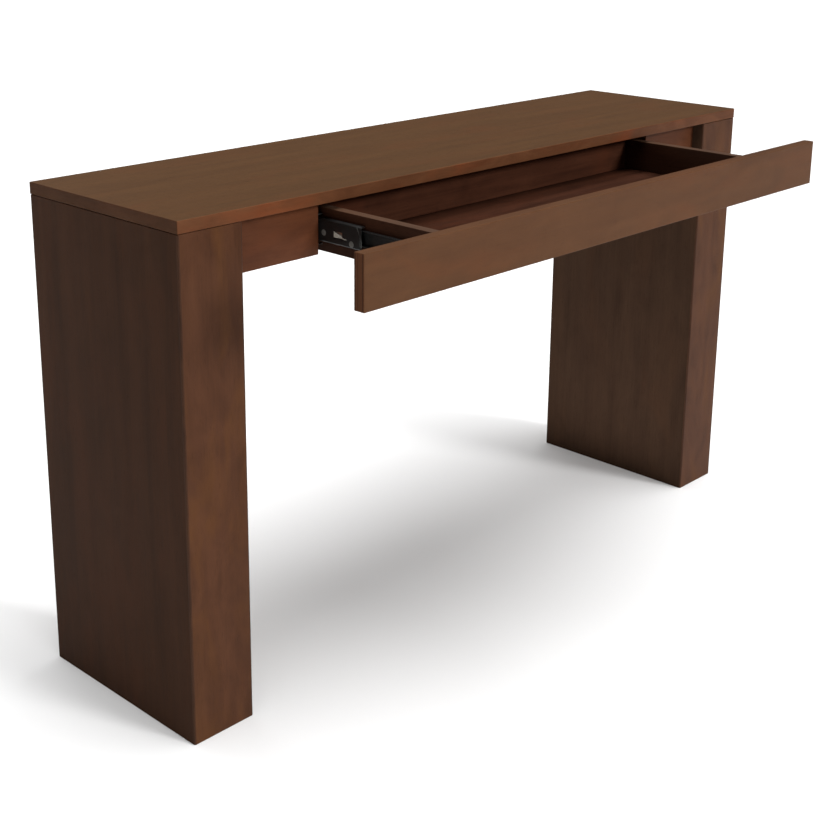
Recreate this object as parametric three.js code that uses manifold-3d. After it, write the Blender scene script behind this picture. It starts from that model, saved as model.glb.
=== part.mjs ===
// Console table with one wide drawer on ball-bearing slides.
// Millimetres, +Z up, the drawer opens towards -Y, +X runs along the table to the right.
// The table stands on Z = 0. The origin is the middle of the footprint with the drawer drawn out as modelled.
import * as THREE from 'three';
import { mergeVertices } from 'three/addons/utils/BufferGeometryUtils.js';
import Module from 'manifold-3d';

const wasm = await Module();
wasm.setup();

// Table
const tableLength = 1346;
const tableDepth = 343;
const tableHeight = 762;
const board = 18;
const legWidth = 108;
const legBlockHeight = 40;
const shadowGap = 1.5;
const mitreGap = 0.25;
const apronHeight = 79;
const apronRecess = 22;
const openingHalfWidth = 407;

// Drawer
const drawerOpening = 229;
const frontInset = 2;
const frontSideGap = 2;
const frontTopGap = 3;
const drawerSideThickness = 16;
const drawerSideHeight = 65;
const drawerSideLift = 2;
const drawerSideLength = 270;
const drawerBottomThickness = 6;
const drawerBottomLift = 6;
const grooveDepth = 6;
const grooveClearance = 0.25;

// Slides: three nested steel channels a side, with balls in cages between them
const slideLength = 250;
const slideThickness = 12.75;
const slideLift = 36.5;
const sheet = 1.25;
const cabinetMember = { web: 0, tip: 10, half: 22.5 };
const middleMember = { web: 2.75, tip: 11, half: 17 };
const drawerMember = { web: 11.5, tip: 5.5, half: 11.5 };
const middleLength = 212;
const middleFront = 85;
const ballRadius = 2;
const ballsInRow = 4;
const cageSheet = 0.75;
const outerCage = { web: 1.625, ball: 6.5, row: 19.125, front: -18, length: 100 };
const innerCage = { web: 4.375, ball: 8, row: 13.625, front: 72, length: 76 };

// Small pieces on the slides
const rivetRadius = 4.5;
const rivetPlaces = [{ name: 'front', fromEnd: 19, up: -10.5 }, { name: 'rear', fromEnd: 75, up: -3 }];
const clipLength = 17;
const clipHeight = 9;
const clipFromEnd = 46;
const clipUp = -2;
const leverLength = 38;
const leverHeight = 8;
const leverThickness = 3;
const leverFromEnd = 14;
const leverFromWeb = 1;
const leverBossRadius = 2.8;
const leverBossProud = 0.75;
const slideScrew = { head: 3.5, shank: 1.75, length: 15 };
const slideScrewInsets = { front: 35, rear: 215 };

// Other fixings
const dowelRadius = 4;
const dowelLength = 30;
const dowelInFront = 12;
const dowelHeights = { lower: 19, upper: 52 };
const topScrew = { head: 4.5, shank: 2.5, length: 52 };
const topScrewReach = 100;
const fixingClearance = 0.25;
const cutPast = 1;
const roundSides = 12;

// Levels and faces worked out from the sizes above
const topUnderside = tableHeight - board;
const apronBottom = topUnderside - apronHeight;
const tableFront = -tableDepth / 2;
const tableBack = tableDepth / 2;
const apronFront = tableFront + apronRecess;
const backApronFront = tableBack - board;
const legInnerFace = tableLength / 2 - legWidth;
const frontFace = tableFront + frontInset - drawerOpening;
const frontBack = frontFace + board;
const frontHalfWidth = legInnerFace - frontSideGap;
const frontTop = topUnderside - frontTopGap;
const sideBottom = apronBottom + drawerSideLift;
const sideTop = sideBottom + drawerSideHeight;
const sideOuter = openingHalfWidth - slideThickness;
const sideInner = sideOuter - drawerSideThickness;
const sideEnd = frontBack + drawerSideLength;
const bottomLow = sideBottom + drawerBottomLift;
const bottomHigh = bottomLow + drawerBottomThickness;
const slideAxis = apronBottom + slideLift;
const slideFront = apronFront + frontInset;
const middleStart = slideFront - middleFront;

// The drawer stands out by this much more at the front than the table does at the back
const frameShift = -(frontFace + tableBack) / 2;

const woodMaterial = (color) => new THREE.MeshStandardMaterial({ color, roughness: 0.5, metalness: 0 });
const materials = {
  top: woodMaterial(0x62482f),
  leg: woodMaterial(0x54352a),
  apron: woodMaterial(0x5a3c2e),
  drawerFront: woodMaterial(0x674937),
  drawerBox: woodMaterial(0x4a2c20),
  bare: woodMaterial(0xb89468),
  blackSteel: new THREE.MeshStandardMaterial({ color: 0x18181a, roughness: 0.4, metalness: 0.8 }),
  zincSteel: new THREE.MeshStandardMaterial({ color: 0xb4b4b4, roughness: 0.3, metalness: 1 }),
  blackPlastic: new THREE.MeshStandardMaterial({ color: 0x151515, roughness: 0.55, metalness: 0 }),
  whiteNylon: new THREE.MeshStandardMaterial({ color: 0xe4e2dc, roughness: 0.5, metalness: 0 }),
};

const table = new THREE.Group();
table.position.set(0, frameShift, 0);

function addPiece(name, geometry, material) {
  const mesh = new THREE.Mesh(geometry, material);
  mesh.name = name;
  table.add(mesh);
}

// A closed geometry as a solid that can be cut and joined
function solidOf(geometry) {
  const bare = geometry.clone();
  bare.deleteAttribute('normal');
  bare.deleteAttribute('uv');
  const merged = mergeVertices(bare, 1e-4);
  const vertProperties = Float32Array.from(merged.attributes.position.array);
  const triVerts = Uint32Array.from(merged.index.array);
  return new wasm.Manifold(new wasm.Mesh({ numProp: 3, vertProperties, triVerts }));
}

function geometryOf(solid) {
  const { vertProperties, triVerts } = solid.getMesh();
  const geometry = new THREE.BufferGeometry();
  geometry.setAttribute('position', new THREE.BufferAttribute(vertProperties, 3));
  geometry.setIndex(new THREE.BufferAttribute(triVerts, 1));
  geometry.computeVertexNormals();
  return geometry;
}

function cut(geometry, tools) {
  return geometryOf(tools.reduce((solid, tool) => solid.subtract(solidOf(tool)), solidOf(geometry)));
}

function join(geometry, others) {
  return geometryOf(others.reduce((solid, other) => solid.add(solidOf(other)), solidOf(geometry)));
}

// A box between two corners
function boxBetween([x0, y0, z0], [x1, y1, z1]) {
  const geometry = new THREE.BoxGeometry(Math.abs(x1 - x0), Math.abs(y1 - y0), Math.abs(z1 - z0));
  return geometry.translate((x0 + x1) / 2, (y0 + y1) / 2, (z0 + z1) / 2);
}

function shapeOf(points) {
  return new THREE.Shape(points.map(([x, y]) => new THREE.Vector2(x, y)));
}

// An XY outline carried up from one level to another
function upright(points, low, high) {
  const geometry = new THREE.ExtrudeGeometry(shapeOf(points), { depth: high - low, bevelEnabled: false });
  return geometry.translate(0, 0, low);
}

// An XZ outline carried along Y
function alongY(points, front, back) {
  const geometry = new THREE.ExtrudeGeometry(shapeOf(points), { depth: back - front, bevelEnabled: false });
  return geometry.rotateX(Math.PI / 2).translate(0, back, 0);
}

// A turned piece; its profile is [distance along the axis, radius], and the axis starts at a point
function turned(profile, start, direction, sides = roundSides) {
  const points = profile.map(([along, radius]) => new THREE.Vector2(radius, along));
  const turn = new THREE.Quaternion().setFromUnitVectors(new THREE.Vector3(0, 1, 0), direction);
  return new THREE.LatheGeometry(points, sides).applyQuaternion(turn).translate(...start);
}

// A countersunk wood screw: a flat head, a cone as deep as the sheet it holds, a shank and a point
function screwProfile({ head, shank, length }, coneDepth, clearance = 0) {
  const wide = head + clearance;
  const narrow = shank + clearance;
  return [[0, 0], [0, wide], [coneDepth, narrow], [length - narrow, narrow], [length + clearance, 0]];
}

const up = new THREE.Vector3(0, 0, 1);
const sides = [{ name: 'left', sign: -1 }, { name: 'right', sign: 1 }];

// Each leg is a hollow box of four mitred panels, closed by a block near the top and one at the floor
function legPanels(sign) {
  const outer = tableLength / 2;
  const inner = legInnerFace;
  const place = (points) => points.map(([x, y]) => [sign * x, y]);
  const low = outer - board;
  const high = inner + board;
  const front = tableFront;
  const back = tableBack;
  const slip = mitreGap;
  return {
    outer_panel: place([[outer, front], [outer, back], [low, back - board], [low, front + board]]),
    inner_panel: place([[inner, front], [high, front + board], [high, back - board], [inner, back]]),
    front_panel: place([[inner + slip, front], [outer - slip, front],
      [low - slip, front + board], [high + slip, front + board]]),
    back_panel: place([[inner + slip, back], [high + slip, back - board],
      [low - slip, back - board], [outer - slip, back]]),
  };
}

function topScrewPlaces(sign) {
  const x = sign * (tableLength / 2 - legWidth / 2);
  const level = topUnderside - legBlockHeight;
  return { front: [x, -topScrewReach, level], rear: [x, topScrewReach, level] };
}

function buildLeg({ name, sign }) {
  const panelTop = topUnderside - shadowGap;
  for (const [panel, outline] of Object.entries(legPanels(sign))) {
    addPiece(`${name}_leg_${panel}`, upright(outline, 0, panelTop), materials.leg);
  }
  const inside = [legInnerFace + board, tableLength / 2 - board].map((x) => sign * x);
  const corner = (index, level) => [inside[index], index ? backApronFront : tableFront + board, level];
  const topBlock = boxBetween(corner(0, topUnderside - legBlockHeight), corner(1, topUnderside));
  const holes = Object.values(topScrewPlaces(sign)).map(
    (start) => turned(screwProfile(topScrew, topScrew.head - topScrew.shank, fixingClearance), start, up));
  addPiece(`${name}_leg_top_block`, cut(topBlock, holes), materials.bare);
  addPiece(`${name}_leg_bottom_block`, boxBetween(corner(0, 0), corner(1, legBlockHeight)), materials.bare);
  for (const [place, start] of Object.entries(topScrewPlaces(sign))) {
    const screw = turned(screwProfile(topScrew, topScrew.head - topScrew.shank), start, up);
    addPiece(`${name}_leg_top_screw_${place}`, screw, materials.zincSteel);
  }
}

function buildTop() {
  const end = tableLength / 2;
  const slab = boxBetween([-end, tableFront, topUnderside], [end, tableBack, tableHeight]);
  const holes = sides.flatMap(({ sign }) => Object.values(topScrewPlaces(sign))).map(
    (start) => turned(screwProfile(topScrew, topScrew.head - topScrew.shank, fixingClearance), start, up));
  addPiece('table_top', cut(slab, holes), materials.top);
}

// Short panels beside the drawer opening, a full one at the back, and a rail behind each for the slides
function buildAprons() {
  for (const { name, sign } of sides) {
    const near = sign * openingHalfWidth;
    const panel = boxBetween([near, apronFront, apronBottom],
      [sign * legInnerFace, apronFront + board, topUnderside]);
    addPiece(`front_apron_${name}`, panel, materials.apron);
    const rail = boxBetween([near, apronFront + board, apronBottom],
      [near + sign * board, backApronFront, topUnderside]);
    const holes = slideScrews(sign).cabinet.map(({ hole }) => hole);
    addPiece(`slide_rail_${name}`, cut(rail, holes), materials.apron);
  }
  const back = boxBetween([-legInnerFace, backApronFront, apronBottom],
    [legInnerFace, tableBack, topUnderside]);
  addPiece('back_apron', back, materials.apron);
}

// Places on a slide are given by their depth from the rail's face and their height from the slide's axis
const slideX = (sign, depth) => sign * (openingHalfWidth - depth);

// Channel section: a web with a flange at each edge, folded with small chamfers
function channelOutline(sign, { web, tip, half }) {
  const towards = Math.sign(tip - web);
  const outerFace = towards > 0 ? web : web + sheet;
  const innerFace = outerFace + towards * sheet;
  const fold = sheet / 2;
  const points = [
    [outerFace + towards * fold, -half], [tip, -half], [tip, sheet - half], [innerFace, sheet - half],
    [innerFace, half - sheet], [tip, half - sheet], [tip, half], [outerFace + towards * fold, half],
    [outerFace, half - fold], [outerFace, fold - half],
  ];
  return points.map(([depth, height]) => [slideX(sign, depth), slideAxis + height]);
}

// Two screws hold a cabinet member to its rail, and two hold a drawer member to the drawer side
function slideScrews(sign) {
  const outwards = new THREE.Vector3(sign, 0, 0);
  const inwards = new THREE.Vector3(-sign, 0, 0);
  const make = (depth, memberFront, direction) => Object.entries(slideScrewInsets).map(([place, inset]) => {
    const start = [slideX(sign, depth), memberFront + inset, slideAxis];
    const screw = turned(screwProfile(slideScrew, sheet), start, direction);
    const hole = turned(screwProfile(slideScrew, sheet, fixingClearance), start, direction);
    return { place, screw, hole };
  });
  return {
    cabinet: make(cabinetMember.web + sheet, slideFront, outwards),
    drawer: make(drawerMember.web, frontBack, inwards),
  };
}

// A cage is a thin channel with a row of balls held in each flange
function ballCage(sign, { web, ball, row, front, length }) {
  const start = slideFront - front;
  const half = row + cageSheet / 2;
  const tip = ball + ballRadius;
  const points = [
    [web, -half], [tip, -half], [tip, cageSheet - half], [web + cageSheet, cageSheet - half],
    [web + cageSheet, half - cageSheet], [tip, half - cageSheet], [tip, half], [web, half],
  ].map(([depth, height]) => [slideX(sign, depth), slideAxis + height]);
  const strip = alongY(points, start, start + length);
  const pitch = length / ballsInRow;
  const balls = [-1, 1].flatMap((edge) => Array.from({ length: ballsInRow }, (_, index) => {
    const place = [slideX(sign, ball), start + pitch * (index + 0.5), slideAxis + edge * row];
    return new THREE.IcosahedronGeometry(ballRadius, 1).translate(...place);
  }));
  return join(strip, balls);
}

function middlePiecePlaces(sign) {
  const face = middleMember.web;
  const outwards = new THREE.Vector3(-sign, 0, 0);
  const disc = (radius, past) => [[-past, 0], [-past, radius], [sheet + past, radius], [sheet + past, 0]];
  const rivets = rivetPlaces.map(({ name, fromEnd, up: height }) => {
    const start = [slideX(sign, face), middleStart + fromEnd, slideAxis + height];
    const hole = turned(disc(rivetRadius + fixingClearance, cutPast), start, outwards);
    return { name, rivet: turned(disc(rivetRadius, 0), start, outwards), hole };
  });
  const clipBox = (grow, through) => boxBetween(
    [slideX(sign, face - through), middleStart + clipFromEnd - clipLength / 2 - grow,
      slideAxis + clipUp - clipHeight / 2 - grow],
    [slideX(sign, face + sheet + through), middleStart + clipFromEnd + clipLength / 2 + grow,
      slideAxis + clipUp + clipHeight / 2 + grow]);
  return { rivets, clip: clipBox(0, 0), clipSlot: clipBox(fixingClearance, cutPast) };
}

// The lever that frees the drawer from its slides: a flat bar on a round boss
function releaseLever(sign) {
  const end = frontBack + slideLength - leverFromEnd;
  const middle = drawerMember.web - leverFromWeb - leverThickness / 2;
  const bar = boxBetween(
    [slideX(sign, middle - leverThickness / 2), end - leverLength, slideAxis - leverHeight / 2],
    [slideX(sign, middle + leverThickness / 2), end, slideAxis + leverHeight / 2]);
  const bossStart = [slideX(sign, middle), end - leverHeight / 2, slideAxis];
  const bossEnd = leverThickness / 2 + leverBossProud;
  const bossProfile = [[0, 0], [0, leverBossRadius], [bossEnd, leverBossRadius], [bossEnd, 0]];
  const boss = turned(bossProfile, bossStart, new THREE.Vector3(-sign, 0, 0));
  return join(bar, [boss]);
}

function buildSlide({ name, sign }) {
  const screws = slideScrews(sign);
  const middlePieces = middlePiecePlaces(sign);
  const holesOf = (list) => list.map(({ hole }) => hole);
  const channel = (member, front, length) => alongY(channelOutline(sign, member), front, front + length);

  addPiece(`${name}_slide_cabinet_member`,
    cut(channel(cabinetMember, slideFront, slideLength), holesOf(screws.cabinet)), materials.blackSteel);
  const middleCuts = [...holesOf(middlePieces.rivets), middlePieces.clipSlot];
  addPiece(`${name}_slide_middle_member`,
    cut(channel(middleMember, middleStart, middleLength), middleCuts), materials.blackSteel);
  addPiece(`${name}_slide_drawer_member`,
    cut(channel(drawerMember, frontBack, slideLength), holesOf(screws.drawer)), materials.blackSteel);
  addPiece(`${name}_slide_outer_ball_cage`, ballCage(sign, outerCage), materials.zincSteel);
  addPiece(`${name}_slide_inner_ball_cage`, ballCage(sign, innerCage), materials.zincSteel);
  addPiece(`${name}_slide_release_lever`, releaseLever(sign), materials.blackPlastic);
  addPiece(`${name}_slide_hold_clip`, middlePieces.clip, materials.whiteNylon);
  for (const { name: place, rivet } of middlePieces.rivets) {
    addPiece(`${name}_slide_stop_rivet_${place}`, rivet, materials.zincSteel);
  }
  for (const [member, list] of Object.entries(screws)) {
    for (const { place, screw } of list) {
      addPiece(`${name}_slide_${member}_screw_${place}`, screw, materials.zincSteel);
    }
  }
}

// Dowels join each drawer side to the back of the front
function drawerDowels(sign) {
  const along = new THREE.Vector3(0, 1, 0);
  return Object.entries(dowelHeights).map(([place, height]) => {
    const across = sideInner + drawerSideThickness / 2;
    const start = [sign * across, frontBack - dowelInFront, sideBottom + height];
    const rod = (radius, extra) => turned([[-extra, 0], [-extra, radius], [dowelLength + extra, radius],
      [dowelLength + extra, 0]], start, along);
    return { place, dowel: rod(dowelRadius, 0), hole: rod(dowelRadius + fixingClearance, fixingClearance) };
  });
}

function buildDrawer() {
  const grooveReach = sideInner + grooveDepth;
  const groove = boxBetween(
    [-grooveReach, frontBack - grooveDepth, bottomLow - grooveClearance],
    [grooveReach, sideEnd + cutPast, bottomHigh + grooveClearance]);
  const dowels = sides.map(({ name, sign }) => ({ name, list: drawerDowels(sign) }));
  const dowelHoles = dowels.flatMap(({ list }) => list.map(({ hole }) => hole));

  const front = boxBetween([-frontHalfWidth, frontFace, apronBottom], [frontHalfWidth, frontBack, frontTop]);
  addPiece('drawer_front', cut(front, [groove, ...dowelHoles]), materials.drawerFront);
  for (const { name, sign } of sides) {
    const side = boxBetween([sign * sideInner, frontBack, sideBottom], [sign * sideOuter, sideEnd, sideTop]);
    const holes = slideScrews(sign).drawer.map(({ hole }) => hole);
    addPiece(`drawer_side_${name}`, cut(side, [groove, ...dowelHoles, ...holes]), materials.drawerBox);
  }
  const back = boxBetween([-sideInner, sideEnd - drawerSideThickness, bottomHigh + grooveClearance],
    [sideInner, sideEnd, sideTop]);
  addPiece('drawer_back', back, materials.drawerBox);
  const bottomReach = grooveReach - fixingClearance;
  const bottom = boxBetween([-bottomReach, frontBack - grooveDepth + fixingClearance, bottomLow],
    [bottomReach, sideEnd, bottomHigh]);
  addPiece('drawer_bottom', bottom, materials.drawerBox);
  for (const { name, list } of dowels) {
    for (const { place, dowel } of list) {
      addPiece(`drawer_dowel_${name}_${place}`, dowel, materials.bare);
    }
  }
}

buildTop();
sides.forEach(buildLeg);
buildAprons();
sides.forEach(buildSlide);
buildDrawer();

export default table;
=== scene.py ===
# Console table with one wide drawer: the finished look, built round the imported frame.
# Metres, +Z up, the drawer opens towards -Y.
from math import pi, radians

import bpy
from mathutils import Matrix, Vector


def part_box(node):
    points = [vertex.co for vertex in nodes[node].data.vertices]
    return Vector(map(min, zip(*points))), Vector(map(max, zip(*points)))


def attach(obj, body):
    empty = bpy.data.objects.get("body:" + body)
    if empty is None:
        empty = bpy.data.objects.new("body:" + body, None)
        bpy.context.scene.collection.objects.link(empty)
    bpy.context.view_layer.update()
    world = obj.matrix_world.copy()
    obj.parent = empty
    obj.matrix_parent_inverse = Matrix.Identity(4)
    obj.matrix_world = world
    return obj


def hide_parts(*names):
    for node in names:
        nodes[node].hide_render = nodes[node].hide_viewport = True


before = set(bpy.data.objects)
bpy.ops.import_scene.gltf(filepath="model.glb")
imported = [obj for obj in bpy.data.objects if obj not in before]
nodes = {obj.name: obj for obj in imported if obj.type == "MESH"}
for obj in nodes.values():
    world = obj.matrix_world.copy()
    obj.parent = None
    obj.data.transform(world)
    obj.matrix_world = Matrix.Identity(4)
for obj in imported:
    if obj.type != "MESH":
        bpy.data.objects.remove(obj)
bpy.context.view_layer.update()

millimetre = 0.001
hair = 0.01 * millimetre  # places closer than this are the same place
square = 0.9  # a face looks along an axis when this share of its normal does
print("frame loaded:", len(nodes), "nodes")


# small helpers for modelling

def letGo():
    if bpy.context.object and bpy.context.object.mode != "OBJECT":
        bpy.ops.object.mode_set(mode="OBJECT")
    bpy.ops.object.select_all(action="DESELECT")


def takeUp(piece):
    letGo()
    piece.select_set(True)
    bpy.context.view_layer.objects.active = piece


def settle(piece, name):
    # the finished object sits at the origin, unturned and unscaled
    takeUp(piece)
    bpy.ops.object.transform_apply(location=True, rotation=True, scale=True)
    piece.name = name
    piece.data.name = name
    return piece


def addBlock(name, low, high):
    letGo()
    low, high = Vector(low), Vector(high)
    bpy.ops.mesh.primitive_cube_add(size=1, location=(low + high) / 2, scale=high - low)
    return settle(bpy.context.object, name)


def addRod(name, start, along, radius, vertices=32):
    # a cylinder from a start point; along is one of the axes, with the rod's length
    letGo()
    start, along = Vector(start), Vector(along)
    turn = along.to_track_quat("Z", "Y").to_euler()
    bpy.ops.mesh.primitive_cylinder_add(vertices=vertices, radius=radius, depth=along.length,
                                        location=start + along / 2, rotation=turn)
    return settle(bpy.context.object, name)


def pick(piece, kind, wanted):
    # selects the faces, edges or vertices whose middle passes the test, and stays in edit mode
    takeUp(piece)
    bpy.ops.object.mode_set(mode="EDIT")
    bpy.ops.mesh.select_mode(type=kind)
    bpy.ops.mesh.select_all(action="DESELECT")
    bpy.ops.object.mode_set(mode="OBJECT")
    mesh = piece.data
    if kind == "FACE":
        for face in mesh.polygons:
            face.select = wanted(face.center, face.normal)
    elif kind == "EDGE":
        for edge in mesh.edges:
            ends = [mesh.vertices[i].co for i in edge.vertices]
            edge.select = wanted(*ends)
    else:
        for vertex in mesh.vertices:
            vertex.select = wanted(vertex.co)
    bpy.ops.object.mode_set(mode="EDIT")


def pickAll(piece, kind="FACE"):
    pick(piece, kind, lambda *anything: True)


def putDown():
    bpy.ops.object.mode_set(mode="OBJECT")


def modify(piece, kind, **settings):
    takeUp(piece)
    modifier = piece.modifiers.new(kind.title(), kind)
    for setting, value in settings.items():
        setattr(modifier, setting, value)
    bpy.ops.object.modifier_apply(modifier=modifier.name)


def cutOut(piece, cutters):
    for cutter in cutters:
        modify(piece, "BOOLEAN", operation="DIFFERENCE", solver="EXACT", object=cutter)
        bpy.data.objects.remove(cutter)


def joinUp(name, parts):
    takeUp(parts[0])
    for part in parts:
        part.select_set(True)
    bpy.ops.object.join()
    return settle(bpy.context.object, name)


def faceOut(piece):
    pickAll(piece)
    bpy.ops.mesh.remove_doubles(threshold=hair / 10)
    bpy.ops.mesh.normals_make_consistent(inside=False)
    putDown()


def smooth(piece, angle=35):
    takeUp(piece)
    bpy.ops.object.shade_smooth_by_angle(angle=radians(angle))


def roundOff(piece, wanted, width, segments, slot=-1):
    # rounds the edges that pass the test; slot is the finish of the narrow new faces
    pick(piece, "EDGE", wanted)
    bpy.ops.mesh.bevel(offset=width, segments=segments, affect="EDGES", material=slot)
    putDown()


def evenShade(piece):
    smooth(piece)
    modify(piece, "WEIGHTED_NORMAL", keep_sharp=True)


def ease(piece, width, segments=3):
    # rounds every arris; the narrow new faces take the second finish
    roundOff(piece, lambda a, b: True, width, segments, 1)
    evenShade(piece)


def mirrored(piece, name):
    takeUp(piece)
    bpy.ops.object.duplicate()
    copy = bpy.context.object
    copy.scale.x = -1
    settle(copy, name)
    pickAll(copy)
    bpy.ops.mesh.normals_make_consistent(inside=False)
    putDown()
    return copy


def standIn(piece, body, slot, *replaced):
    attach(piece, body)
    if replaced:
        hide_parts(*replaced)


def finishWith(piece, *materials):
    piece.data.materials.clear()
    for material in materials:
        piece.data.materials.append(material)


# shader maths

class Wire:
    # one socket of a material; arithmetic on wires adds Math nodes
    def __init__(self, tree, socket):
        self.tree = tree
        self.socket = socket

    def add(self, kind, settings=None, output=0, inputs=None):
        node = self.tree.nodes.new(kind)
        for setting, value in (settings or {}).items():
            setattr(node, setting, value)
        for socket, value in (inputs or {}).items():
            if isinstance(value, Wire):
                self.tree.links.new(value.socket, node.inputs[socket])
            else:
                node.inputs[socket].default_value = value
        return Wire(self.tree, node.outputs[output])

    def maths(self, operation, *values):
        return self.add("ShaderNodeMath", {"operation": operation}, inputs=dict(enumerate(values)))

    def __add__(self, other):
        return self.maths("ADD", self, other)

    def __radd__(self, other):
        return self.maths("ADD", other, self)

    def __sub__(self, other):
        return self.maths("SUBTRACT", self, other)

    def __rsub__(self, other):
        return self.maths("SUBTRACT", other, self)

    def __mul__(self, other):
        return self.maths("MULTIPLY", self, other)

    def __rmul__(self, other):
        return self.maths("MULTIPLY", other, self)

    def __abs__(self):
        return self.maths("ABSOLUTE", self)

    def held(self):
        # kept between 0 and 1
        return self.add("ShaderNodeClamp", inputs={"Value": self})

    def step(self, low, high):
        # 0 below low, 1 above high, a soft rise between
        return self.add("ShaderNodeMapRange", {"interpolation_type": "SMOOTHSTEP"},
                        inputs={"Value": self, "From Min": low, "From Max": high})

    def noise(self, across, along, axis, detail=2, distortion=0, shift=(0, 0, 0)):
        # noise drawn out along one axis; across and along are in waves per metre
        scale = tuple(along if letter == axis else across for letter in "XYZ")
        placed = self.add("ShaderNodeMapping",
                          inputs={"Vector": self, "Scale": scale, "Location": shift})
        return self.add("ShaderNodeTexNoise", output="Fac", inputs={
            "Vector": placed, "Scale": 1, "Detail": detail, "Roughness": 0.55, "Distortion": distortion})

    def blend(self, first, second):
        # this wire is the share of the second colour
        return self.add("ShaderNodeMix", {"data_type": "RGBA"}, output=2,
                        inputs={0: self, 6: first, 7: second})


def tone(red, green, blue):
    # a colour as a paint chip gives it, 0 to 255, made linear
    def linear(share):
        return share / 12.92 if share <= 0.04045 else ((share + 0.055) / 1.055) ** 2.4
    return (linear(red / 255), linear(green / 255), linear(blue / 255), 1)


def darker(colour, share):
    return tuple(part * share for part in colour[:3]) + (1,)


def newMaterial(name, **constants):
    material = bpy.data.materials.new(name)
    material.use_nodes = True
    tree = material.node_tree
    shader = tree.nodes["Principled BSDF"]
    for socket, value in constants.items():
        shader.inputs[socket].default_value = value
    place = Wire(tree, None).add("ShaderNodeTexCoord", output="Object")
    return material, shader, place


def connect(shader, **wires):
    for socket, wire in wires.items():
        wire.tree.links.new(wire.socket, shader.inputs[socket.replace("_", " ")])


def bumpFrom(height, strength, distance):
    return height.add("ShaderNodeBump",
                      inputs={"Height": height, "Strength": strength, "Distance": distance})


# finishes

woodLook = {"streakAcross": 34, "streakAlong": 1.8, "lineAcross": 330, "lineAlong": 7,
            "poreAcross": 1500, "poreAlong": 70, "poreFrom": 0.60, "poreFull": 0.72, "poreDark": 0.45,
            "mottleAcross": 22, "mottleAlong": 9,
            "patchAcross": 16, "patchAlong": 5, "patchFrom": 0.45, "patchFull": 0.75,
            "patchShift": (3.1, 1.7, 0.4), "bumpStrength": 0.35, "bumpDepth": 0.3 * millimetre}


def woodFinish(name, axis, dark, light, warm, streak=0.5, line=0.4, mottle=0.5, warmth=0.3,
               pore=0.35, rough=0.5, shine=0.07, shift=(0, 0, 0), bands=None):
    # streaks and fine lines along the grain, clouds of stain, warm patches and dark pores
    material, shader, place = newMaterial(name, **{"Specular IOR Level": shine})
    look = woodLook
    streaks = place.noise(look["streakAcross"], look["streakAlong"], axis, 4, 0.5, shift)
    lines = place.noise(look["lineAcross"], look["lineAlong"], axis, 3, 0, shift)
    pores = place.noise(look["poreAcross"], look["poreAlong"], axis, 1, 0, shift)
    pores = pores.step(look["poreFrom"], look["poreFull"])
    blotches = place.noise(look["mottleAcross"], look["mottleAlong"], axis, 4, 1.2, shift)
    patches = place.noise(look["patchAcross"], look["patchAlong"], axis, 3, 0.8, look["patchShift"])
    patches = patches.step(look["patchFrom"], look["patchFull"])
    share = 0.5 + (streaks - 0.5) * (2 * streak) + (lines - 0.5) * line + (blotches - 0.5) * (2 * mottle)
    colour = share.held().blend(dark, light)
    colour = (patches * warmth).blend(colour, warm)
    darkest = darker(dark, look["poreDark"])
    colour = (pores * pore).blend(colour, darkest)
    if bands:
        colour = bands(place).blend(colour, darkest)
    roughness = (rough + (lines - 0.5) * 0.14 + pores * 0.12).held()
    relief = lines * 0.5 + streaks * 0.3 - pores * 0.6
    connect(shader, Base_Color=colour, Roughness=roughness,
            Normal=bumpFrom(relief, look["bumpStrength"], look["bumpDepth"]))
    return material


metalLook = {"grain": 900, "clouds": 60, "cloudDark": 0.75, "bumpDepth": 0.04 * millimetre}


def metalFinish(name, colour, metallic, rough):
    material, shader, place = newMaterial(name, **{"Metallic": metallic})
    specks = place.noise(metalLook["grain"], metalLook["grain"], "X", 2)
    clouds = place.noise(metalLook["clouds"], metalLook["clouds"], "X", 3)
    connect(shader, Base_Color=clouds.step(0.3, 0.7).blend(darker(colour, metalLook["cloudDark"]), colour),
            Roughness=(rough + (clouds - 0.5) * 0.2 + (specks - 0.5) * 0.1).held(),
            Normal=bumpFrom(specks, 0.3, metalLook["bumpDepth"]))
    return material


plasticLook = {"grain": 2200, "clouds": 120, "cloudDark": 0.88, "bumpDepth": 0.03 * millimetre}


def plasticFinish(name, colour, rough):
    material, shader, place = newMaterial(name, **{"IOR": 1.46})
    specks = place.noise(plasticLook["grain"], plasticLook["grain"], "X", 2)
    clouds = place.noise(plasticLook["clouds"], plasticLook["clouds"], "X", 2)
    connect(shader, Base_Color=clouds.blend(darker(colour, plasticLook["cloudDark"]), colour),
            Roughness=(rough + (specks - 0.5) * 0.15).held(),
            Normal=bumpFrom(specks, 0.2, plasticLook["bumpDepth"]))
    return material


frontLow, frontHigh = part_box("drawer_front")
# glue lines: place as a share of the board's thickness, and half width
plyLines = {"lines": ((0.13, 0.9 * millimetre), (0.62, 0.4 * millimetre), (0.88, 1.0 * millimetre)),
            "depth": 0.75}


def plyBands(place):
    # thin dark glue lines in the end of the drawer front, near both faces and past the middle
    depth = place.add("ShaderNodeSeparateXYZ", output="Y", inputs={"Vector": place})
    total = None
    for share, half in plyLines["lines"]:
        middle = frontLow.y + share * (frontHigh.y - frontLow.y)
        line = 1 - abs(depth - middle).step(half * 0.5, half * 1.6)
        total = line if total is None else total.maths("MAXIMUM", total, line)
    return total * plyLines["depth"]


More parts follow.
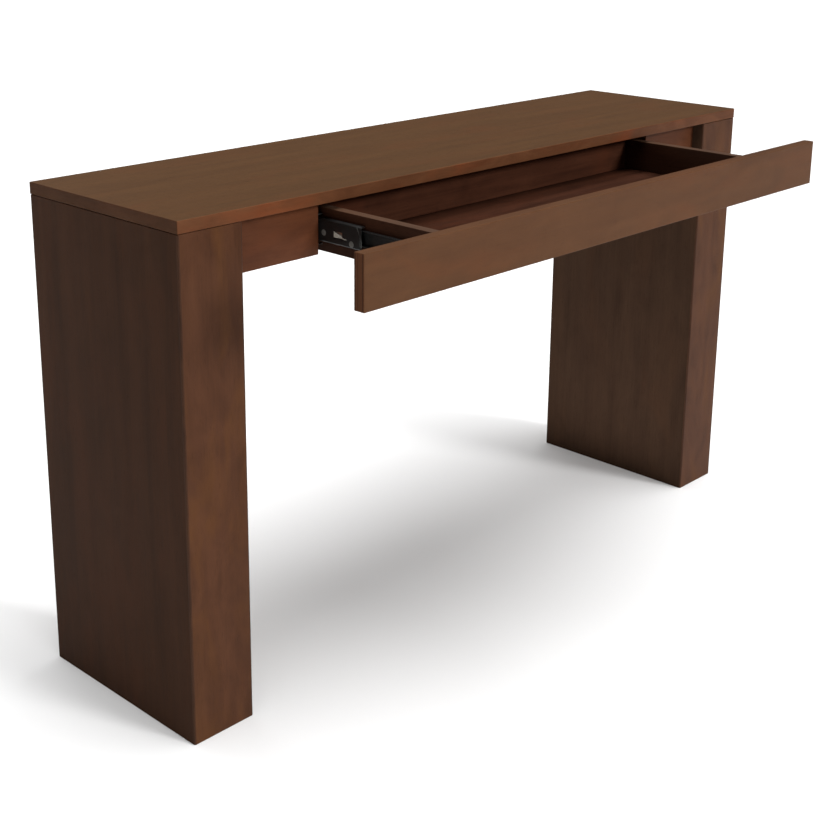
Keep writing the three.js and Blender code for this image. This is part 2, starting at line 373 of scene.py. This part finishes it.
topVeneer = woodFinish("topVeneer", "X", tone(70, 46, 25), tone(84, 57, 32), tone(86, 52, 28),
                       streak=0.5, line=1.0, mottle=0.3, warmth=0.4, pore=0.5)
topEdge = woodFinish("topEdge", "X", tone(76, 44, 26), tone(104, 66, 42), tone(112, 58, 32),
                     streak=0.5, line=0.4, mottle=0.8, warmth=0.8, pore=0.25)
topEnd = woodFinish("topEnd", "Y", tone(60, 38, 24), tone(82, 54, 36), tone(82, 48, 30), shine=0.03,
                    streak=0.5, line=0.4, mottle=0.7, warmth=0.4, pore=0.3)
# the leg's outer sides: a darker copy of the leg veneer, painted shade for the side turned away from the
# light
legSide = woodFinish("legSide", "Z", tone(47, 29, 17), tone(66, 41, 26), tone(66, 38, 22),
                     streak=0.6, line=0.5, mottle=0.35, warmth=0.5, pore=0.35, shine=0.03,
                     shift=(0.3, 0.7, 0.2))
# the leg's inner sides: a lighter, greyer copy of the leg veneer, painted light as if bounced up from the
# floor
legInner = woodFinish("legInner", "Z", tone(48, 34, 26), tone(68, 50, 38), tone(67, 46, 33),
                      streak=0.45, line=0.5, mottle=0.35, warmth=0.4, pore=0.35, rough=0.62, shine=0.02,
                      shift=(1.1, 0.3, 0.6))
legFront = woodFinish("legFront", "Z", tone(60, 35, 21), tone(81, 50, 32), tone(86, 53, 26),
                      streak=0.4, line=0.4, mottle=0.9, warmth=0.7, pore=0.3, rough=0.48,
                      shift=(1.3, 0.2, 0.9))
# a darker copy of the leg veneer for the rounded upright corners: painted shade where the light turns the
# corner
legWorn = woodFinish("legWorn", "Z", tone(48, 30, 21), tone(74, 49, 35), tone(78, 50, 31),
                     streak=0.5, line=0.3, mottle=0.7, warmth=0.5, pore=0.2, rough=0.45)
apronVeneer = woodFinish("apronVeneer", "X", tone(70, 39, 24), tone(92, 54, 34), tone(94, 52, 30),
                         streak=0.5, line=0.4, mottle=0.7, warmth=0.5, pore=0.3, shift=(0.2, 1.1, 0.5))
drawerVeneer = woodFinish("drawerVeneer", "X", tone(73, 46, 28), tone(89, 59, 37), tone(92, 56, 33),
                          streak=0.4, line=0.5, mottle=0.5, warmth=0.5, pore=0.25, rough=0.48,
                          shift=(0.9, 0.4, 1.3))
drawerEnd = woodFinish("drawerEnd", "Z", tone(70, 40, 22), tone(87, 52, 31), tone(90, 51, 29),
                       streak=0.5, line=0.5, mottle=0.3, warmth=0.3, pore=0.4, rough=0.55, bands=plyBands)
boxWood = woodFinish("boxWood", "X", tone(54, 28, 17), tone(84, 49, 33), tone(88, 46, 28),
                     streak=0.9, line=0.6, mottle=0.5, warmth=0.5, pore=0.4, shift=(0.6, 0.6, 0.1))
bottomWood = woodFinish("bottomWood", "X", tone(42, 22, 14), tone(72, 42, 29), tone(76, 40, 25),
                        streak=0.9, line=0.6, mottle=0.5, warmth=0.5, pore=0.4, shift=(0.1, 0.9, 0.7))
sideWood = woodFinish("sideWood", "Y", tone(44, 25, 16), tone(66, 40, 27), tone(66, 37, 24),
                      streak=0.7, line=0.5, mottle=0.5, warmth=0.35, pore=0.35)
# the drawer sides' upward faces: a lighter, greyer copy of the side wood, painted light where the faces turn
# up to the light
sideTopLit = woodFinish("sideTopLit", "Y", tone(66, 46, 34), tone(88, 64, 49), tone(84, 58, 43),
                     streak=0.7, line=0.5, mottle=0.5, warmth=0.3, pore=0.3)
bareWood = woodFinish("bareWood", "Y", tone(168, 130, 88), tone(205, 170, 125), tone(200, 156, 104),
                      streak=0.9, line=0.6, mottle=0.3, warmth=0.3, pore=0.2, rough=0.7)
slideSteel = metalFinish("slideSteel", tone(18, 17, 16), 0.2, 0.5)
slideEdge = metalFinish("slideEdge", tone(105, 105, 102), 0.9, 0.35)
brightSteel = metalFinish("brightSteel", tone(200, 200, 198), 1.0, 0.3)
dullSteel = metalFinish("dullSteel", tone(128, 130, 126), 0.6, 0.42)
leverPlastic = plasticFinish("leverPlastic", tone(30, 30, 31), 0.5)
clipNylon = plasticFinish("clipNylon", tone(176, 170, 158), 0.5)
print("finishes made")


# table top, legs and aprons

topBoard = {"ease": 1.2 * millimetre, "face": 0, "edge": 1, "end": 2}


def makeTableTop():
    top = addBlock("tableTop", *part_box("table_top"))
    finishWith(top, topVeneer, topEdge, topEnd)
    ease(top, topBoard["ease"])
    for face in top.data.polygons:
        tilt = face.normal
        edge = "end" if abs(tilt.x) > 0.5 else "edge"
        face.material_index = topBoard["face" if abs(tilt.z) > square else edge]
    standIn(top, "table", "top_veneer", "table_top")


legShell = {"board": 18 * millimetre, "corner": 3 * millimetre, "arris": 0.9 * millimetre,
            "seam": 0.1 * millimetre, "rise": 1.0 * millimetre, "tall": 100 * millimetre}


def makeLegPanel(side, panel, sign):
    # the leg's whole box with rounded arrises, sawn down to one panel at its mitres
    look = legShell
    boxes = [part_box(f"{side}_leg_{name}_panel") for name in ("outer", "inner", "front", "back")]
    low = Vector([min(box[0][i] for box in boxes) for i in range(3)])
    high = Vector([max(box[1][i] for box in boxes) for i in range(3)])
    high.z += look["rise"]  # almost up to the table top, so that the seam stays dark
    shell = addBlock(f"{side}Leg{panel.title()}Panel", low, high)
    # outer panels take the darker copy (painted shade), inner panels the lighter one (painted light bounced
    # up from the floor)
    finishWith(shell, {"outer": legSide, "inner": legInner}.get(panel, legFront), legWorn)
    # the rounded upright corners take the darker copy: painted shade
    roundOff(shell, lambda a, b: abs(a.z - b.z) > look["tall"], look["corner"], 5, 1)
    roundOff(shell, lambda a, b: abs(a.z - b.z) < hair, look["arris"], 2, 0)
    outside = {"outer": Vector((sign, 0, 0)), "inner": Vector((-sign, 0, 0)),
               "front": Vector((0, -1, 0)), "back": Vector((0, 1, 0))}[panel]
    across = Vector((0, 1, 0)) if outside.x else Vector((1, 0, 0))
    reach = (high - low) / 2
    faceCentre = (low + high) / 2 + Vector([outside[i] * reach[i] for i in range(3)])
    cuts = [(faceCentre - outside * look["board"], -outside)]
    for way in (-1, 1):
        corner = faceCentre + across * way * abs(reach.dot(across))
        normal = (across * way - outside).normalized()
        cuts.append((corner - normal * look["seam"], normal))
    for point, normal in cuts:
        pickAll(shell)
        bpy.ops.mesh.bisect(plane_co=point, plane_no=normal, use_fill=True, clear_outer=True)
        putDown()
    evenShade(shell)
    standIn(shell, "table", "leg_veneer", f"{side}_leg_{panel}_panel")


apronBoard = {"ease": 0.8 * millimetre}


def makeAprons():
    for node in ("front_apron_left", "front_apron_right", "back_apron"):
        words = node.split("_")
        apron = addBlock(words[0] + "".join(word.title() for word in words[1:]), *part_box(node))
        finishWith(apron, apronVeneer, apronVeneer)
        ease(apron, apronBoard["ease"])
        standIn(apron, "table", "apron_veneer", node)


makeTableTop()
for side, sign in (("left", -1), ("right", 1)):
    for panel in ("outer", "inner", "front", "back"):
        makeLegPanel(side, panel, sign)
makeAprons()
print("table made")


# drawer

drawerBoards = {"ease": 1.0 * millimetre, "bottomEase": 0.4 * millimetre,
                "grooveSlack": 0.25 * millimetre, "groovePast": 10 * millimetre}


def grooveCutter():
    # a little larger than the bottom board, and open to the rear
    low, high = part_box("drawer_bottom")
    slack = drawerBoards["grooveSlack"]
    grow = Vector((slack, slack, slack))
    past = Vector((0, drawerBoards["groovePast"], 0))
    return addBlock("grooveCutter", low - grow, high + grow + past)


def makeDrawer():
    front = addBlock("drawerFront", frontLow, frontHigh)
    finishWith(front, drawerVeneer, drawerVeneer, drawerEnd)
    ease(front, drawerBoards["ease"])
    for face in front.data.polygons:
        if abs(face.normal.x) > square:
            face.material_index = 2
    cutOut(front, [grooveCutter()])
    standIn(front, "drawer", "drawer_front_veneer", "drawer_front")

    for side in ("left", "right"):
        board = addBlock(f"drawerSide{side.title()}", *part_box(f"drawer_side_{side}"))
        finishWith(board, sideWood, sideTopLit)
        ease(board, drawerBoards["ease"])
        for face in board.data.polygons:
            # faces turned up take the lighter copy: painted light
            face.material_index = 1 if face.normal.z > 0.5 else 0
        cutOut(board, [grooveCutter()])
        standIn(board, "drawer", "drawer_box_wood", f"drawer_side_{side}")

    back = addBlock("drawerBack", *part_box("drawer_back"))
    finishWith(back, boxWood, boxWood)
    ease(back, drawerBoards["ease"])
    standIn(back, "drawer", "drawer_box_wood", "drawer_back")

    bottom = addBlock("drawerBottom", *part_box("drawer_bottom"))
    finishWith(bottom, bottomWood, bottomWood)
    ease(bottom, drawerBoards["bottomEase"], 2)
    standIn(bottom, "drawer", "drawer_box_wood", "drawer_bottom")


makeDrawer()
print("drawer made")


# slides: everything is modelled for the left side and mirrored to the right

slideLook = {"sheet": 1.25 * millimetre, "fold": 3.0 * millimetre, "drawerFold": 2.4 * millimetre,
             "long": 100 * millimetre, "screwHole": 3.75 * millimetre, "rivetHole": 4.6 * millimetre,
             "holeReach": 4 * millimetre, "clipSlack": (3, 0.2, 0.2)}
places = ("front", "rear")


def makeChannel(name, node, opening, fold):
    # a box loses its ends and its open side, then its folds are rounded and it gets its thickness
    low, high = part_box(node)
    channel = addBlock(name, low, high)
    pick(channel, "FACE", lambda middle, normal: abs(normal.y) > square or normal.x * opening > square)
    bpy.ops.mesh.delete(type="FACE")
    putDown()
    web = low.x if opening > 0 else high.x

    def alongWeb(a, b):
        return abs(a.x - web) < hair and abs(b.x - web) < hair and abs(a.y - b.y) > slideLook["long"]

    roundOff(channel, alongWeb, fold, 5)
    modify(channel, "SOLIDIFY", thickness=slideLook["sheet"], offset=-1, use_even_offset=True)
    return channel, web


def finishChannel(channel):
    faceOut(channel)
    finishWith(channel, slideSteel, slideEdge)
    for face in channel.data.polygons:
        if abs(face.normal.y) > square:
            face.material_index = 1
    smooth(channel)


noseLook = {"width": 2.2 * millimetre, "low": 689 * millimetre, "high": 717 * millimetre,
            "sheet": 0.8 * millimetre, "inset": 0.4, "steps": 12,
            "lean": 6.5 * millimetre, "upright": 0.6, "curl": 1.4}


def makeNose(node):
    # the rolled lip at the front end of the middle member, leaning back towards its top
    look = noseLook
    low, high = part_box(node)
    width, height = look["width"], look["high"] - look["low"]
    inset = width * look["inset"]
    letGo()
    bpy.ops.mesh.primitive_grid_add(x_subdivisions=look["steps"], y_subdivisions=2, size=1,
                                    rotation=(0, pi / 2, pi / 4),
                                    location=(low.x + inset, low.y + inset, look["low"] + height / 2))
    bpy.context.object.scale = (height, width, 1)
    nose = settle(bpy.context.object, "noseStrip")
    for level in sorted({round(vertex.co.z, 6) for vertex in nose.data.vertices}):
        share = (level - look["low"]) / height
        bend = max(0, (1 + look["upright"]) * share - look["upright"]) ** look["curl"]
        pick(nose, "VERT", lambda point: abs(point.z - level) < hair)
        bpy.ops.transform.translate(value=(0, look["lean"] * bend, 0))
        putDown()
    modify(nose, "SOLIDIFY", thickness=look["sheet"], offset=0)
    finishWith(nose, dullSteel)
    smooth(nose)
    return nose


def middleOf(node):
    low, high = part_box(node)
    return (low + high) / 2


def makeMember(part, opening, fold, fixing, hole):
    # one channel with the holes for its screws or rivets
    name, node = f"leftSlide{part.title()}Member", f"left_slide_{part}_member"
    member, web = makeChannel(name, node, opening, fold)
    reach = slideLook["holeReach"]
    spots = [middleOf(f"left_slide_{fixing}_{place}") for place in places]
    cutOut(member, [addRod("holeCutter", (web - reach, spot.y, spot.z), (2 * reach, 0, 0), hole)
                    for spot in spots])
    if part == "middle":
        clipLow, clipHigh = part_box("left_slide_hold_clip")
        slack = Vector(slideLook["clipSlack"]) * millimetre
        cutOut(member, [addBlock("clipCutter", clipLow - slack, clipHigh + slack)])
    finishChannel(member)
    if part == "middle":
        member = joinUp(name, [member, makeNose(node)])
    return member


screwLook = {"sides": 32, "shank": 0.5, "tip": 0.1, "tipRun": 0.98,
             "recessLong": 0.65, "recessWide": 0.22, "recessDeep": 0.7}


def makeScrew(name, node):
    # a countersunk head with a cross recess, then its shank and point, all as long as the node
    look = screwLook
    low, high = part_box(node)
    middle = (low + high) / 2
    length, radius = high.x - low.x, (high.z - low.z) / 2
    shank = radius * look["shank"]
    towards = -1 if "cabinet" in node else 1
    face = high.x if towards < 0 else low.x
    sheet = slideLook["sheet"]
    letGo()
    bpy.ops.mesh.primitive_cone_add(vertices=look["sides"], radius1=radius, radius2=shank, depth=sheet,
                                    location=(face + towards * sheet / 2, middle.y, middle.z),
                                    rotation=(0, towards * pi / 2, 0))
    screw = settle(bpy.context.object, name)
    end = face + towards * sheet
    pick(screw, "FACE", lambda centre, normal: abs(centre.x - end) < hair)
    for run in (length - sheet - shank, shank * look["tipRun"]):
        bpy.ops.mesh.extrude_region_move(TRANSFORM_OT_translate={"value": (towards * run, 0, 0)})
    bpy.ops.transform.resize(value=(1, look["tip"], look["tip"]), center_override=(end, middle.y, middle.z))
    putDown()
    deep, long, wide = sheet * look["recessDeep"], radius * look["recessLong"], radius * look["recessWide"]
    centre = Vector((face, middle.y, middle.z))
    for corner in (Vector((deep, long, wide)), Vector((deep, wide, long))):
        cutOut(screw, [addBlock("recessCutter", centre - corner, centre + corner)])
    finishWith(screw, brightSteel)
    smooth(screw)
    return screw


# each step of the head: the inset as a share of the radius, and the rise
rivetLook = {"sides": 40, "steps": ((0.25, 0.2 * millimetre), (0.3, 0.12 * millimetre))}


def makeRivet(name, node):
    low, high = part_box(node)
    middle = (low + high) / 2
    radius = (high.z - low.z) / 2
    rivet = addRod(name, (low.x, middle.y, middle.z), (high.x - low.x, 0, 0), radius, rivetLook["sides"])
    pick(rivet, "FACE", lambda centre, normal: normal.x < -square)
    for inset, rise in rivetLook["steps"]:
        bpy.ops.mesh.inset(thickness=radius * inset)
        bpy.ops.transform.translate(value=(-rise, 0, 0))
    putDown()
    finishWith(rivet, dullSteel)
    smooth(rivet, 40)
    return rivet


# the tail's steps are drop and run in millimetres
clipLook = {"neck": 0.22, "neckHigh": 1.6 * millimetre,
            "tail": ((-0.9, 1.2), (-0.6, 2.2), (-0.1, 3.0), (0.3, 2.6)), "arris": 0.2 * millimetre,
            "grooves": (0.25, 0.5, 0.75), "grooveHalf": 0.5 * millimetre, "groovePast": 10 * millimetre}


def makeClip(name, node):
    # a nylon block with a curved tail that runs forward along the web
    look = clipLook
    low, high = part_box(node)
    clip = addBlock(name, low, high)
    pick(clip, "FACE", lambda centre, normal: normal.y < -square)
    bpy.ops.transform.resize(value=(1, 1, look["neck"]),
                             center_override=(low.x, low.y, low.z + look["neckHigh"]))
    putDown()
    pick(clip, "FACE", lambda centre, normal: normal.y < -0.7)
    for drop, run in look["tail"]:
        bpy.ops.mesh.extrude_region_move(
            TRANSFORM_OT_translate={"value": (0, -run * millimetre, drop * millimetre)})
    putDown()
    roundOff(clip, lambda a, b: True, look["arris"], 2)
    deep, half, past = (high.x - low.x) / 2, look["grooveHalf"], look["groovePast"]
    for share in look["grooves"]:
        groove = low.y + share * (high.y - low.y)
        cutOut(clip, [addBlock("ribCutter", (low.x - deep, groove - half, low.z - past),
                               (low.x + deep, groove + half, high.z + past))])
    finishWith(clip, clipNylon)
    smooth(clip)
    return clip


leverLook = {"tip": 0.55, "rim": 1.2 * millimetre, "panel": 0.8 * millimetre, "arris": 0.3 * millimetre}


def makeLever(name, node):
    # a bar that narrows to the front, with a sunk panel
    look = leverLook
    low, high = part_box(node)
    bar = addBlock(name, low, high)
    pick(bar, "VERT", lambda point: point.y < low.y + hair)
    bpy.ops.transform.resize(value=(1, 1, look["tip"]),
                             center_override=(low.x, low.y, (low.z + high.z) / 2))
    putDown()
    pick(bar, "FACE", lambda centre, normal: normal.x < -square)
    bpy.ops.mesh.inset(thickness=look["rim"])
    bpy.ops.transform.translate(value=(look["panel"], 0, 0))
    putDown()
    finishWith(bar, leverPlastic)
    roundOff(bar, lambda a, b: True, look["arris"], 2)
    smooth(bar)
    return bar


cageLook = {"sheet": 0.75 * millimetre, "ball": 2 * millimetre, "ballFit": 0.99, "ballsInRow": 4}


def makeCage(name, node):
    # a folded strip with a row of round balls in each flange
    sheet, radius, count = cageLook["sheet"], cageLook["ball"], cageLook["ballsInRow"]
    low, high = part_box(node)
    middle = (low + high) / 2
    rowHalf = (high.z - low.z) / 2 - radius
    edge = rowHalf + sheet / 2
    strip = addBlock(name, (low.x, low.y, middle.z - edge), (high.x, high.y, middle.z + edge))
    pick(strip, "FACE", lambda centre, normal: abs(normal.y) > square or normal.x > square)
    bpy.ops.mesh.delete(type="FACE")
    putDown()
    modify(strip, "SOLIDIFY", thickness=sheet, offset=-1, use_even_offset=True)
    faceOut(strip)
    balls = []
    pitch = (high.y - low.y) / count
    for row in (-1, 1):
        for index in range(count):
            letGo()
            place = (high.x - radius, low.y + pitch * (index + 0.5), middle.z + row * rowHalf)
            bpy.ops.mesh.primitive_uv_sphere_add(segments=20, ring_count=12,
                                                 radius=radius * cageLook["ballFit"], location=place)
            balls.append(bpy.context.object)
    cage = joinUp(name, [strip, *balls])
    finishWith(cage, brightSteel)
    smooth(cage, 40)
    return cage


def makeSlide():
    made = []

    def keep(piece, body, slot, part):
        made.append((piece, body, slot, f"left_slide_{part}"))

    fold, screwHole = slideLook["fold"], slideLook["screwHole"]
    keep(makeMember("cabinet", 1, fold, "cabinet_screw", screwHole),
         "table", "black_slide_steel", "cabinet_member")
    keep(makeMember("middle", 1, fold, "stop_rivet", slideLook["rivetHole"]),
         "left_middle_member", "black_slide_steel", "middle_member")
    keep(makeMember("drawer", -1, slideLook["drawerFold"], "drawer_screw", screwHole),
         "drawer", "black_slide_steel", "drawer_member")
    for row in ("outer", "inner"):
        keep(makeCage(f"leftSlide{row.title()}Cage", f"left_slide_{row}_ball_cage"),
             f"left_{row}_cage", "bright_steel", f"{row}_ball_cage")
    keep(makeLever("leftReleaseLever", "left_slide_release_lever"),
         "left_lever", "black_plastic", "release_lever")
    keep(makeClip("leftHoldClip", "left_slide_hold_clip"),
         "left_middle_member", "white_nylon", "hold_clip")
    for place in places:
        keep(makeRivet(f"leftStopRivet{place.title()}", f"left_slide_stop_rivet_{place}"),
             "left_middle_member", "bright_steel", f"stop_rivet_{place}")
        for member, body in (("cabinet", "table"), ("drawer", "drawer")):
            keep(makeScrew(f"left{member.title()}Screw{place.title()}", f"left_slide_{member}_screw_{place}"),
                 body, "bright_steel", f"{member}_screw_{place}")
    return made


leftPieces = makeSlide()
for piece, body, slot, node in leftPieces:
    copy = mirrored(piece, piece.name.replace("left", "right"))
    standIn(copy, body.replace("left", "right"), slot, node.replace("left", "right"))
    standIn(piece, body, slot, node)
print("slides made:", 2 * len(leftPieces), "pieces")


# the CAD nodes that stay: blocks, rails, dowels and the screws inside the legs
for name, node in nodes.items():
    if not node.hide_render:
        finishWith(node, brightSteel if "screw" in name else sideWood if "rail" in name else bareWood)


# floor, light and camera

studio = {"floor": 40, "floorTone": (0.86, 0.86, 0.86, 1), "floorShade": 0.985, "floorRough": 0.75,
          "world": 0.2, "backdrop": 0.96, "lampHeight": 4}
suns = {
    "overheadSun": {"from": (0.12, -0.16, 1.0), "strength": 3.3, "spread": 50},
    "frontSun": {"from": (0.27, -0.87, 0.41), "strength": 1.88, "spread": 14},
}
cards = {
    "softBox": {"place": (-0.5, 2.8, 2.6), "aim": (0.0, 0.0, 0.3), "wide": 2.5, "deep": 2.5, "power": 25,
                "glossy": True},
    "floorCard": {"place": (0.0, 0.1, 0.004), "aim": (0.0, 0.1, 1.0), "wide": 0.95, "deep": 0.5, "power": 3.4,
                  "glossy": False},  # so close to the wood, its reflection would be a grey veil
}
cameraView = {"place": (-1.742, -1.4701, 1.1815), "heading": 46.32, "tilt": -15.39, "roll": 0.46,
              "lens": 60.6, "shiftX": 0.025, "shiftY": -0.1786, "nearest": 0.05}


def makeFloor():
    letGo()
    bpy.ops.mesh.primitive_plane_add(size=studio["floor"], location=(0, 0, 0))
    floor = settle(bpy.context.object, "studioFloor")
    paper, shader, place = newMaterial("floorPaper", **{"Specular IOR Level": 0.1})
    clouds = place.noise(2, 2, "X", 2)
    shade = darker(studio["floorTone"], studio["floorShade"])
    connect(shader, Base_Color=clouds.blend(shade, studio["floorTone"]),
            Roughness=studio["floorRough"] + clouds * 0.1)
    finishWith(floor, paper)


def makeWorld():
    # dim as a light, but near white where it is seen past the floor
    world = bpy.data.worlds.new("studioWorld")
    bpy.context.scene.world = world
    world.use_nodes = True
    backdrop = world.node_tree.nodes["Background"]
    backdrop.inputs["Color"].default_value = (1, 1, 1, 1)
    seen = Wire(world.node_tree, None).add("ShaderNodeLightPath", output="Is Camera Ray")
    level = studio["world"] + seen * (studio["backdrop"] - studio["world"])
    world.node_tree.links.new(level.socket, backdrop.inputs["Strength"])


def addLamp(name, kind, place, towards, power):
    letGo()
    turn = towards.to_track_quat("Z", "Y").to_euler()
    bpy.ops.object.light_add(type=kind, location=place, rotation=turn)
    lamp = bpy.context.object
    lamp.name = name
    lamp.data.energy = power
    return lamp


def makeLights():
    for name, sun in suns.items():
        lamp = addLamp(name, "SUN", (0, 0, studio["lampHeight"]), Vector(sun["from"]), sun["strength"])
        lamp.data.angle = radians(sun["spread"])
    for name, card in cards.items():
        place = Vector(card["place"])
        lamp = addLamp(name, "AREA", place, place - Vector(card["aim"]), card["power"])
        lamp.data.shape = "RECTANGLE"
        lamp.data.size = card["wide"]
        lamp.data.size_y = card["deep"]
        lamp.visible_camera = False
        lamp.visible_glossy = card["glossy"]


def makeCamera():
    turn = Matrix.Rotation(radians(-cameraView["heading"]), 4, "Z")
    turn = turn @ Matrix.Rotation(radians(90 + cameraView["tilt"]), 4, "X")
    turn = turn @ Matrix.Rotation(radians(cameraView["roll"]), 4, "Z")
    letGo()
    bpy.ops.object.camera_add(location=cameraView["place"], rotation=turn.to_euler())
    camera = bpy.context.object
    camera.data.lens = cameraView["lens"]
    camera.data.shift_x = cameraView["shiftX"]
    camera.data.shift_y = cameraView["shiftY"]
    camera.data.clip_start = cameraView["nearest"]
    bpy.context.scene.camera = camera


makeFloor()
makeWorld()
makeLights()
makeCamera()
bpy.context.scene.view_settings.view_transform = "Standard"
print("studio made")
